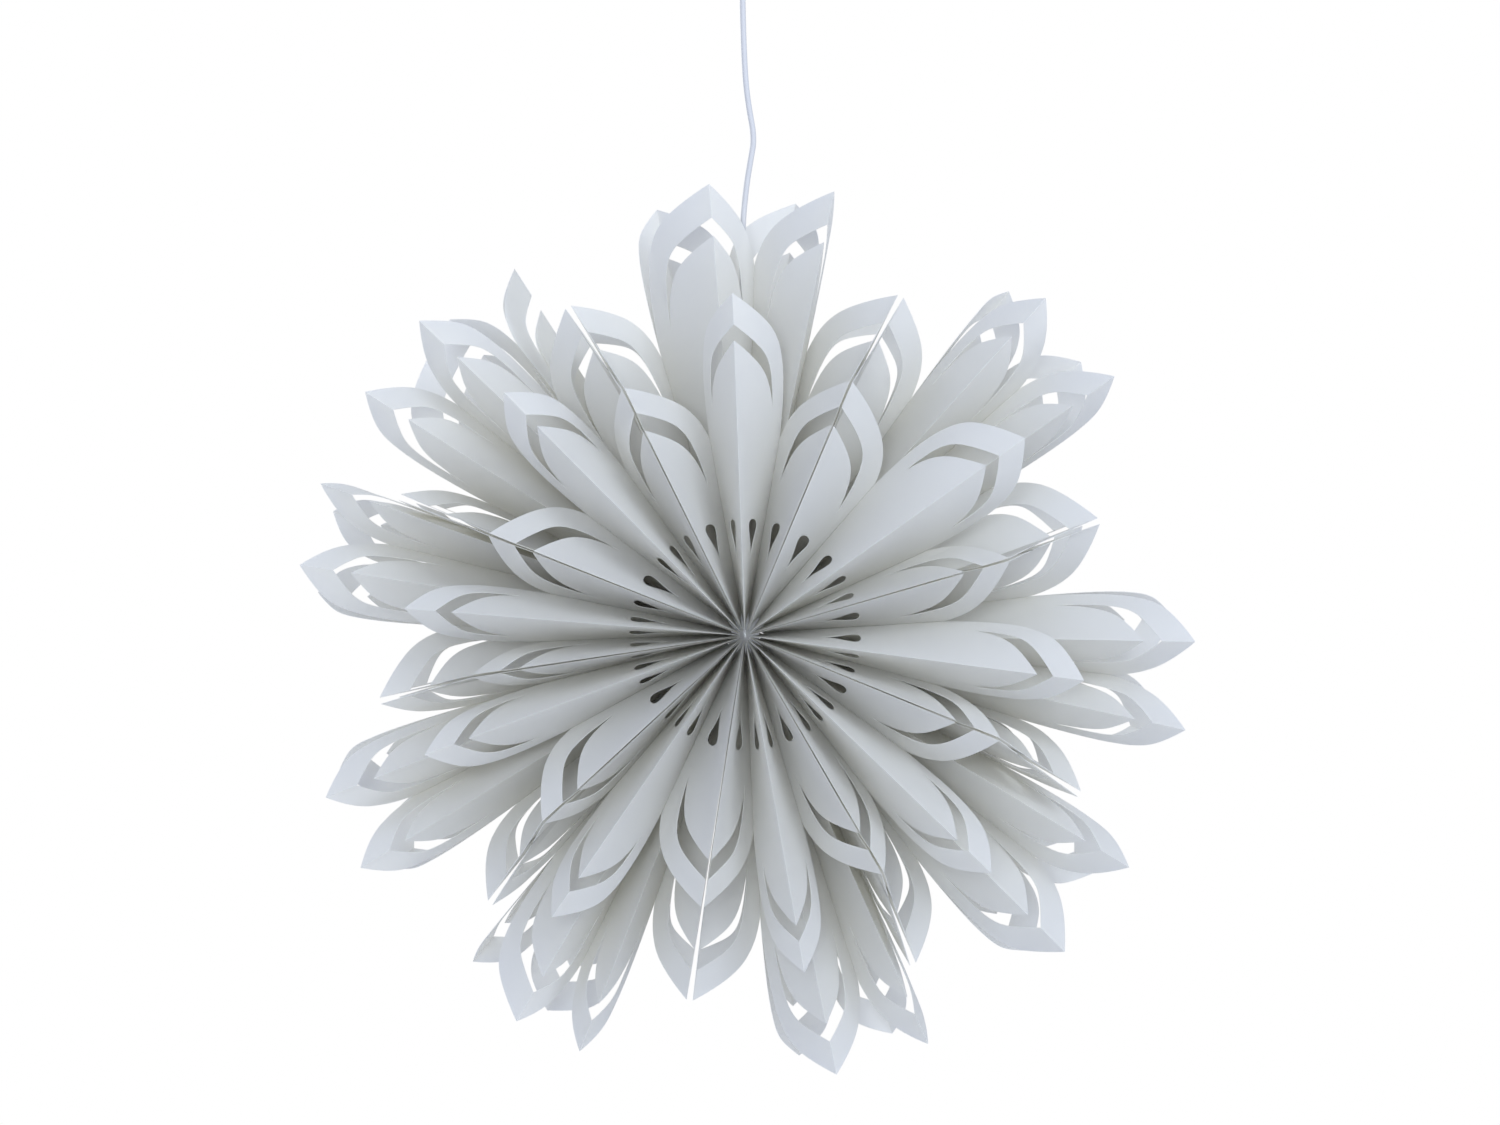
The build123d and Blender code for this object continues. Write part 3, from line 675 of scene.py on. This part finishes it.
@dataclass
class PaperStar:
    """The star: nine glued segments, each with an outer and an inner pleat, front and back."""

    paper: float = 0.4
    core: float = 68.0
    centre: float = 4.0
    outer_root: float = 20.0
    outer_ridge: float = 145.9
    outer_valley: float = 73.9
    outer_fall: float = 0.05
    inner_ridge: float = 74.78
    inner_valley: float = 0.8
    inner_fall: float = 0.035
    seam_offset: float = 0.35
    seam_splay: float = 0.08
    seam_opening: float = 0.22
    wall_seat: float = 0.5
    back_turn: float = 1.2
    outer_notch: float = 174.0
    side_notch: float = 259.0
    middle_notch: float = 333.0
    seam_leaf: Leaf = Leaf(237.0, 24.0, 17.0, 132.0, 0.78)
    crest_leaf: Leaf = Leaf(295.0, 27.0, 14.0, 200.0, 0.74)
    shoulder_leaf: Leaf = Leaf(329.0, 27.0, 18.0, 206.0, 0.78)
    long_leaf: Leaf = Leaf(400.0, 30.0, 16.0, 278.0, 0.74)
    wall_leaf: Leaf = Leaf(237.0, 24.0, 17.0, 150.0, 0.6)
    crease_angle: float = 28.0
    outer_folds: tuple[tuple[float, ...], ...] = (
        (67.3, 80.0, 92.1, 100.3),
        (116.3, 126.2, 134.8, 143.0),
        (158.5, 168.5, 175.5, 182.3),
        (188.5, 193.8, 200.5, 208.6),
        (222.8, 229.5, 235.6, 245.0),
        (261.1, 272.4, 280.0, 286.8),
        (300.1, 308.0, 316.0, 323.7),
        (337.8, 345.0, 352.4, 363.5),
        (376.0, 384.5, 395.2, 409.0),
    )
    inner_folds: tuple[tuple[float, ...], ...] = (
        (77.6, 78.6, 88.6, 94.6, 107.0),
        (129.6, 136.2, 141.8, 147.6, 153.5),
        (159.4, 160.6, 166.3, 171.3, 179.0),
        (195.0, 201.4, 206.4, 211.4, 217.0),
        (229.5, 239.5, 243.8, 248.4, 251.5),
        (273.0, 281.7, 287.9, 294.0, 295.6),
        (307.0, 315.1, 322.1, 328.6, 332.6),
        (342.3, 347.6, 353.2, 358.9, 367.0),
        (390.2, 394.8, 401.5, 408.1, 414.5),
    )
    back_ridges: tuple[tuple[float, ...], ...] = (
        (83.3, 92.8, 101.9),
        (122.6, 128.5, 133.6),
        (164.0, 169.5, 175.0),
        (199.0, 206.0, 213.4),
        (230.6, 236.0, 242.5),
        (277.2, 283.5, 290.0),
        (311.5, 319.0, 326.0),
        (346.0, 354.5, 361.5),
        (398.6, 405.0, 412.1),
    )
    seam_leans: tuple[float, ...] = (-2.1, 2.2, 0.0, 2.0, 3.8, 0.3, -3.2, -3.5, 1.6)
    chance: np.random.Generator = field(default_factory=lambda: np.random.default_rng(11))

    def seams(self, index: int) -> tuple[float, float]:
        """Angles of a segment's two seams."""
        low = self.outer_folds[index][0]
        high = self.outer_folds[(index + 1) % len(self.outer_folds)][0]
        return low, high if high > low else high + 360.0

    def leans(self, index: int) -> tuple[float, float]:
        """How far the inner pleat leans away at a segment's two seams, in degrees at its leaves."""
        return self.seam_leans[index], self.seam_leans[(index + 1) % len(self.seam_leans)]

    def ridge_pair(self, index: int, level: Level) -> tuple[Fold, Fold]:
        """The two seam ridges of a segment's pleat, a hair's breadth inside its seams."""
        low, high = self.seams(index)
        depth, fall, start, tip = self.outer_ridge, self.outer_fall, self.centre, self.seam_leaf.tip
        if level is Level.INNER:
            depth, fall, start = self.inner_ridge, self.inner_fall, self.core
            tip = self.shoulder_leaf.tip
        bends = self.chance.normal(0.0, 0.8, 2)
        leans = self.leans(index) if level is Level.INNER else (0.0, 0.0)
        return tuple(
            Fold(
                angle + way * self.seam_splay,
                start,
                depth,
                fall,
                way * self.seam_offset,
                way * self.seam_opening,
                lean,
                bend,
                tip,
            )
            for angle, way, lean, bend in zip((low, high), (1, -1), leans, bends)
        )

    def outer_sheets(self, index: int, side: Side) -> list[Sheet]:
        """The four faces and two side walls of an outer pleat."""
        turn = 0.0 if side is Side.FRONT else self.back_turn
        _, near_angle, crest_angle, far_angle = self.outer_folds[index]
        first, last = self.ridge_pair(index, Level.OUTER)
        near = Fold(near_angle + turn, self.outer_root, self.outer_valley)
        far = Fold(far_angle + turn, self.outer_root, self.outer_valley)
        crest = Fold(
            crest_angle + turn,
            self.centre,
            self.outer_ridge,
            self.outer_fall,
            curl=self.chance.normal(0.0, 1.6),
            tip=self.crest_leaf.tip,
        )
        drop = Drop()
        notch = self.outer_notch
        made = [
            Sheet(ridge, valley, leaf, notch, side, self.belly(), self.band_lift(), drop, True)
            for ridge, valley, leaf in (
                (first, near, self.seam_leaf),
                (crest, near, self.crest_leaf),
                (crest, far, self.crest_leaf),
                (last, far, self.seam_leaf),
            )
        ]
        for ridge, lean in zip((first, last), self.leans(index)):
            rear = Fold(
                ridge.angle,
                self.outer_root,
                self.inner_ridge + self.wall_seat,
                self.inner_fall,
                ridge.offset,
                ridge.splay,
                lean,
            )
            made.append(
                Sheet(ridge, rear, self.wall_leaf, self.shoulder_leaf.tip, side, drop=drop)
            )
        return made

    def inner_sheets(self, index: int, side: Side) -> list[Sheet]:
        """The six faces of an inner pleat."""
        side_a, ridge_a, middle, ridge_b, side_b = self.inner_folds[index]
        if side is Side.BACK:
            ridge_a, middle, ridge_b = self.back_ridges[index]
        first, last = self.ridge_pair(index, Level.INNER)
        bends = self.chance.normal(0.0, 2.5, 2)
        depth, fall, tip = self.inner_ridge, self.inner_fall, self.long_leaf.tip
        long_a, long_b = [
            Fold(angle, self.core, depth, fall, curl=bend, tip=tip)
            for angle, bend in zip((ridge_a, ridge_b), bends)
        ]
        near, mid, far = [
            Fold(angle, self.core, self.inner_valley) for angle in (side_a, middle, side_b)
        ]
        return [
            Sheet(ridge, valley, leaf, notch, side, self.belly(), self.band_lift())
            for ridge, valley, leaf, notch in (
                (first, near, self.shoulder_leaf, self.side_notch),
                (long_a, near, self.long_leaf, self.side_notch),
                (long_a, mid, self.long_leaf, self.middle_notch),
                (long_b, mid, self.long_leaf, self.middle_notch),
                (long_b, far, self.long_leaf, self.side_notch),
                (last, far, self.shoulder_leaf, self.side_notch),
            )
        ]

    def belly(self) -> float:
        """How far a face bulges, in mm."""
        return float(self.chance.normal(0.4, 0.7))

    def band_lift(self) -> float:
        """How far a cut band stands away from its face, in mm."""
        return float(self.chance.uniform(0.6, 2.2))

    def build(self, finishes: Finishes) -> list[bpy.types.Object]:
        """Make, thicken and dress all the pleats.

        Args:
            finishes: the object's materials.

        Returns:
            The 36 folded sheets.
        """
        return [
            self.pleat(index, side, level, finishes)
            for side in Side
            for level in Level
            for index in range(len(self.outer_folds))
        ]

    def pleat(
        self, index: int, side: Side, level: Level, finishes: Finishes
    ) -> bpy.types.Object:
        """Make one folded sheet in place of its CAD node."""
        sheets = self.outer_sheets if level is Level.OUTER else self.inner_sheets
        points, faces, count = [], [], 0
        for sheet in sheets(index, side):
            vertices, blocks = sheet.arrays()
            points.append(vertices)
            faces.extend(block + count for block in blocks)
            count += len(vertices)
        place = f"{side.name.lower()}_{level.value}"
        obj = new_object(f"paper_{place}_{index + 1}", np.concatenate(points) * MM, faces)
        merge_doubles(obj, 2e-6)
        give_thickness(obj, self.paper * MM)
        shade(obj, self.crease_angle)
        finishes.put(obj, "star_paper")
        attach(obj, "pendant")
        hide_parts(f"{place}_pleat_{index + 1}")
        return obj


# ---------------------------------------------------------------- cord


@dataclass
class HangingCord:
    """The flex from the bend in its grip down to the lampholder.

    The star's glue line presses it aside where the photograph shows it kinked.
    """

    diameter: float = 5.2
    top: float = -60.0
    bottom: float = -593.0
    length: float = 534.3
    # Centre line between the two ends: right of the star's axis, and height below the ceiling
    route: tuple[tuple[float, float], ...] = (
        (-2.3, -90.0),
        (-0.2, -145.0),
        (3.0, -172.0),
        (8.4, -201.0),
        (4.9, -221.0),
        (0.9, -245.0),
        (-2.9, -285.0),
        (-2.5, -360.0),
        (-1.8, -438.0),
        (-0.8, -510.0),
        (0.0, -555.0),
    )

    def points(self) -> np.ndarray:
        """The route's points in metres, with both ends."""
        middle = [(STAR_SIDE + right, 0.0, height) for right, height in self.route]
        ends = ((0.0, 0.0, self.top), (STAR_SIDE, 0.0, self.bottom))
        return np.array([ends[0], *middle, ends[1]]) * MM

    def build(self, finishes: Finishes) -> bpy.types.Object:
        curve = bpy.data.curves.new("flex", "CURVE")
        curve.dimensions = "3D"
        curve.bevel_depth = self.diameter / 2 * MM
        curve.bevel_resolution = 6
        curve.resolution_u = 16
        curve.use_fill_caps = True
        points = self.points()
        spline = curve.splines.new("NURBS")
        spline.points.add(len(points) - 1)
        flat = np.concatenate([points, np.ones((len(points), 1))], axis=1)
        spline.points.foreach_set("co", flat.ravel())
        spline.order_u = 3
        spline.use_endpoint_u = True
        obj = bpy.data.objects.new("flex", curve)
        bpy.context.scene.collection.objects.link(obj)
        curve.materials.append(finishes.by_slot["cord"])
        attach(obj, "pendant")
        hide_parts("cord")
        return obj


# ---------------------------------------------------------------- turned parts


@dataclass(frozen=True)
class Turned:
    """A turned part: a closed outline of radii and heights in mm, spun about an upright axis."""

    node: str
    finish: str
    body: str
    outline: tuple[tuple[float, float], ...]
    axis: tuple[float, float] = (STAR_SIDE, -STAR_DROP)
    softness: float = 0.35
    pitch: float = 0.0
    thread: float = 0.6
    span: tuple[float, float] = (0.0, 0.0)
    sides: int = 72

    def profile(self) -> np.ndarray:
        """The outline, each corner off the axis rounded by (1-u)^2 a + 2u(1-u) b + u^2 c."""
        corners = np.array(self.outline, dtype=float)
        u = np.linspace(0.0, 1.0, 5)[:, None]
        made = []
        for before, corner, after in zip(np.roll(corners, 1, 0), corners, np.roll(corners, -1, 0)):
            if corner[0] == 0:
                made.append(corner[None])
                continue
            start, end = [
                corner + way * min(self.softness / np.linalg.norm(way), 0.4)
                for way in (before - corner, after - corner)
            ]
            made.append((1 - u) ** 2 * start + 2 * u * (1 - u) * corner + u**2 * end)
        return np.concatenate(made)

    def divided(self, profile: np.ndarray) -> np.ndarray:
        """The profile with points at every eighth of the thread's pitch."""
        parts = []
        for start, end in zip(profile, np.roll(profile, -1, 0)):
            count = 1 + int(np.linalg.norm(end - start) / (self.pitch / 8))
            share = np.linspace(0.0, 1.0, count, endpoint=False)[:, None]
            parts.append(start + (end - start) * share)
        return np.concatenate(parts)

    def build(self, finishes: Finishes) -> bpy.types.Object:
        """Make the surface x = r cos u, y = r sin u, z = h, and put it in its node's place.

        A thread lowers r by depth * (1 - cos(2 pi h / pitch - u)) / 2 within its span.
        """
        profile = self.profile()
        if self.pitch:
            profile = self.divided(profile)
        profile = np.concatenate([profile, profile[:1]])
        radius, height = profile[:, :1], profile[:, 1:]
        turn = np.linspace(0.0, 2 * np.pi, self.sides + 1)
        if self.pitch:
            low, high = self.span
            faded = np.clip((height - low) / 2, 0, 1) * np.clip((high - height) / 2, 0, 1)
            wave = 1 - np.cos(2 * np.pi * height / self.pitch - turn)
            radius = radius - np.where(radius > self.thread, self.thread * faded * wave / 2, 0.0)
        x = self.axis[0] + radius * np.cos(turn)
        y = radius * np.sin(turn)
        z = np.broadcast_to(self.axis[1] + height, x.shape)
        points = np.stack([x, y, z], axis=-1).reshape(-1, 3)
        faces = grid_faces(len(profile), len(turn))
        obj = new_object(f"turned_{self.node}", points * MM, [faces])
        merge_doubles(obj, 1e-6)
        shade(obj, 35.0)
        finishes.put(obj, self.finish)
        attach(obj, self.body)
        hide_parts(self.node)
        return obj


def globe_outline(
    neck: float, top: float, centre: float, radius: float
) -> tuple[tuple[float, float], ...]:
    """Outline of the bulb's glass.

    Args:
        neck: radius of its neck.
        top: height of the neck's end.
        centre: height of the globe's middle.
        radius: of the globe.

    Returns:
        Radii and heights: the neck, then the circle (radius sin a, centre + radius cos a).
    """
    turns = np.linspace(math.asin(neck / radius), math.pi, 24)[:-1]
    globe = [(radius * math.sin(turn), centre + radius * math.cos(turn)) for turn in turns]
    return ((0.0, top), (neck, top), *globe, (0.0, centre - radius))


CEILING = (0.0, 0.0)
# Corners are radii and heights: above the star's axis, or from the ceiling for CEILING's parts
TURNED_PARTS = (
    Turned(
        "canopy_cup",
        "fitting_plastic",
        "ceiling_fitting",
        ((41, 0), (43, 0), (43, -14), (22, -50), (5, -50), (5, -48), (22, -48), (41, -14)),
        CEILING,
        softness=2.5,
        sides=128,
    ),
    Turned(
        "cord_grip",
        "fitting_plastic",
        "ceiling_fitting",
        (
            (2.9, -43.5),
            (4.9, -43.5),
            (4.9, -50),
            (7.8, -50),
            (7.03, -62),
            (5.83, -62),
            (5.3, -57.7),
            (2.9, -57.7),
        ),
        CEILING,
    ),
    Turned(
        "cord_top",
        "cord",
        "ceiling_fitting",
        ((0, -15.5), (2.6, -15.5), (2.6, -59.15), (0, -59.15)),
        CEILING,
        softness=0.1,
    ),
    Turned(
        "bell_bush",
        "fitting_plastic",
        "swivel",
        ((2.9, -58), (5, -58), (6.6, -70), (5.03, -70)),
        CEILING,
    ),
    Turned(
        "holder_gland",
        "fitting_plastic",
        "pendant",
        (
            (2.9, 64.5),
            (8, 64.5),
            (8, 60.5),
            (4.9, 60.5),
            (4.9, 51.5),
            (0, 51.5),
            (0, 57),
            (2.9, 57),
        ),
    ),
    Turned(
        "holder_cap",
        "fitting_plastic",
        "pendant",
        (
            (5, 59.5),
            (11.5, 59.5),
            (19.5, 51.5),
            (19.5, 37.5),
            (17.3, 37.5),
            (17.3, 51.5),
            (11.5, 57.3),
            (5, 57.3),
        ),
        softness=1.5,
    ),
    Turned(
        "holder_shell",
        "fitting_plastic",
        "pendant",
        ((17.3, 37.5), (19.5, 37.5), (19.5, 2.5), (17.3, 2.5)),
        softness=0.8,
    ),
    Turned("holder_insert", "insulation", "pendant", ((0, 34), (17, 34), (17, 40), (0, 40))),
    Turned(
        "screw_shell",
        "brass",
        "pendant",
        ((13.4, 34), (13.8, 34), (13.8, 10), (13.4, 10)),
        softness=0.1,
    ),
    Turned(
        "bulb_contact",
        "lamp_metal",
        "bulb_screw",
        ((0, 32.6), (3.2, 32.6), (4.5, 30.6), (0, 30.6)),
    ),
    Turned("bulb_insulator", "insulator", "bulb", ((0, 30.6), (5.5, 30.6), (9, 28.4), (0, 28.4))),
    Turned(
        "bulb_cap",
        "lamp_metal",
        "bulb",
        ((0, 28.4), (9, 28.4), (13.1, 25.9), (13.1, 5.9), (12.75, 5.9), (12.75, 25.9), (0, 25.9)),
        softness=0.15,
        pitch=3.63,
        span=(8.9, 25.9),
    ),
    Turned("bulb_glass", "opal_glass", "bulb", globe_outline(12.6, 8.9, -25.6, 22.5), softness=1.5),
)


# ---------------------------------------------------------------- studio


STAR_MIDDLE = (0.0, 0.0, -STAR_DROP * MM)


@dataclass(frozen=True)
class Softbox:
    """A square area light: its place, the point that it faces, its size and its power."""

    name: str
    place: tuple[float, float, float]
    aim: tuple[float, float, float]
    size: float
    power: float
    colour: tuple[float, float, float]

    def build(self) -> None:
        """Add the light to the scene."""
        data = bpy.data.lights.new(self.name, "AREA")
        data.shape = "SQUARE"
        data.size = self.size
        data.energy = self.power
        data.color = self.colour
        light = bpy.data.objects.new(self.name, data)
        away = np.array(self.place) - np.array(self.aim)
        light.location = self.place
        flat = math.hypot(away[0], away[1])
        light.rotation_euler = (math.atan2(flat, away[2]), 0.0, math.atan2(away[0], -away[1]))
        bpy.context.scene.collection.objects.link(light)


@dataclass
class Studio:
    """Camera, soft lights, white surroundings and a pale floor far below the star."""

    camera_place: tuple[float, float, float] = (0.0069, -2.5, -0.5873)
    field_of_view: float = 30.54
    sensor: float = 36.0
    floor_level: float = -2.4
    floor_size: float = 5.0
    surroundings: tuple[float, float, float] = (0.63, 0.70, 0.95)
    surroundings_strength: float = 0.82
    lights: tuple[Softbox, ...] = (
        Softbox("key_light", (1.9, -2.2, 0.9), STAR_MIDDLE, 1.6, 40.0, (0.79, 0.87, 1.0)),
        Softbox("front_light", (-0.4, -3.4, -0.3), STAR_MIDDLE, 0.9, 42.0, (0.82, 0.89, 1.0)),
        Softbox("back_light", (-1.6, 2.0, 0.6), STAR_MIDDLE, 1.8, 28.0, (0.90, 0.94, 1.0)),
    )

    def camera(self) -> None:
        """Put the camera where the photograph was taken from, level and square to the star."""
        data = bpy.data.cameras.new("camera")
        data.sensor_width = self.sensor
        data.lens = self.sensor / 2 / math.tan(math.radians(self.field_of_view) / 2)
        data.clip_start = 0.1
        data.clip_end = 50.0
        camera = bpy.data.objects.new("camera", data)
        camera.location = self.camera_place
        camera.rotation_euler = (math.pi / 2, 0.0, 0.0)
        bpy.context.scene.collection.objects.link(camera)
        bpy.context.scene.camera = camera

    def world(self) -> None:
        """Surroundings: white where the camera or a reflection sees them, softer as light."""
        world = bpy.data.worlds.new("surroundings")
        bpy.context.scene.world = world
        world.use_nodes = True
        tree = world.node_tree
        tree.nodes.clear()
        paths = tree.nodes.new("ShaderNodeLightPath")
        seen = tree.nodes.new("ShaderNodeMath")
        seen.operation = "MAXIMUM"
        tree.links.new(paths.outputs["Is Camera Ray"], seen.inputs[0])
        tree.links.new(paths.outputs["Is Glossy Ray"], seen.inputs[1])
        light = tree.nodes.new("ShaderNodeBackground")
        light.inputs["Color"].default_value = (*self.surroundings, 1.0)
        light.inputs["Strength"].default_value = self.surroundings_strength
        white = tree.nodes.new("ShaderNodeBackground")
        white.inputs["Color"].default_value = (1.0, 1.0, 1.0, 1.0)
        mix = tree.nodes.new("ShaderNodeMixShader")
        output = tree.nodes.new("ShaderNodeOutputWorld")
        tree.links.new(seen.outputs[0], mix.inputs[0])
        tree.links.new(light.outputs[0], mix.inputs[1])
        tree.links.new(white.outputs[0], mix.inputs[2])
        tree.links.new(mix.outputs[0], output.inputs["Surface"])

    def floor(self) -> None:
        """A pale square floor, too far below the star for the camera to see."""
        half = self.floor_size / 2
        corners = np.array([(-half, -half), (half, -half), (half, half), (-half, half)])
        vertices = np.column_stack([corners, np.full(4, self.floor_level)])
        obj = new_object("floor", vertices, [np.array([[0, 1, 2, 3]])])
        made = MaterialTree("floor")
        surface = made.node(
            "ShaderNodeBsdfPrincipled", Base_Color=(0.80, 0.80, 0.79, 1.0), Roughness=0.9
        )
        obj.data.materials.append(made.finish(surface))

    def build(self) -> None:
        """Set up the whole studio."""
        bpy.context.scene.view_settings.view_transform = "Standard"
        self.camera()
        self.world()
        self.floor()
        for light in self.lights:
            light.build()


# ---------------------------------------------------------------- the whole object


@dataclass
class Hardware:
    """The CAD nodes that keep their own meshes, by the finish that dresses them."""

    finishes: Finishes
    nodes: dict[str, tuple[str, ...]] = field(
        default_factory=lambda: {
            "steel": ("ceiling_bracket", "support_plate"),
            "fitting_plastic": ("canopy_screws", "grip_nut", "gland_nut"),
            "insulation": ("terminal_block",),
            "brass": ("contact_tongue",),
        }
    )

    def dress(self, shown: dict[str, bpy.types.Object]) -> None:
        """Give every listed node its material."""
        for finish, names in self.nodes.items():
            for name in names:
                obj = shown[name]
                obj.data.materials.clear()
                obj.data.materials.append(self.finishes.by_slot[finish])
                LOG.info("%s: %s", name, finish)


def plain(corners: Sequence) -> list[list[float]]:
    """Corners as plain lists of numbers."""
    return [[float(value) for value in corner] for corner in corners]


def main() -> None:
    """Load the frame, dress the lamp, and set up the studio."""
    logging.basicConfig(level=logging.INFO, format="%(name)s: %(message)s")
    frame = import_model()
    finishes = Finishes()
    Studio().build()
    flex = HangingCord().build(finishes)
    LOG.info("%s: %.1f mm", flex.name, HangingCord.length)
    for sheet in PaperStar().build(finishes):
        LOG.info("%s: %d faces", sheet.name, len(sheet.data.polygons))
    for part in TURNED_PARTS:
        LOG.info("%s: %d faces", part.node, len(part.build(finishes).data.polygons))
    Hardware(finishes).dress(frame["nodes"])


if __name__ == "__main__":
    main()
